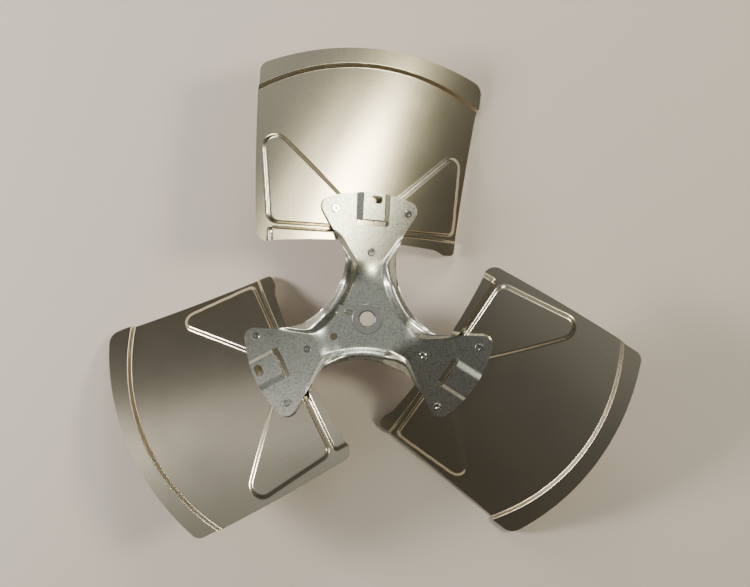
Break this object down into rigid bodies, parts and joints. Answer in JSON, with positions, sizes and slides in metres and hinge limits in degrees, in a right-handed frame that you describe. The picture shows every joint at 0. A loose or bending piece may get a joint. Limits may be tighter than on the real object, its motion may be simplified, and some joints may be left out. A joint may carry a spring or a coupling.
{
  "type": "propeller fan blade",
  "caption": "Propeller fan with broad stamped blades riveted under a twisted-arm spider plate, on a bored hub with a set screw.",
  "frame": {"origin": "on the bore's axis, in the plane that the spider's hub plate sits in on the hub's shoulder", "axes": "+Z along the bore's axis, towards the side that the rivets are clinched on; +Y along the first arm"},
  "size_m": [0.4536, 0.4143, 0.0885],
  "materials": {
    "galvanised_steel": "galvanised, with a fine mottled spangle and a soft sheen",
    "blade_aluminium": "mill finish with a faint rolling grain and a soft sheen",
    "rivet_steel": "zinc plated, softly bright",
    "hub_steel": "turned, zinc plated and a little dulled",
    "screw_steel": "zinc plated, softly bright"
  },
  "bodies": {
    "root": {"spider": "galvanised_steel", "blade_1": "blade_aluminium", "blade_2": "blade_aluminium", "blade_3": "blade_aluminium", "rivets_1": "rivet_steel", "rivets_2": "rivet_steel", "rivets_3": "rivet_steel", "hub": "hub_steel", "set_screw": "screw_steel"}
  },
  "joints": []
}
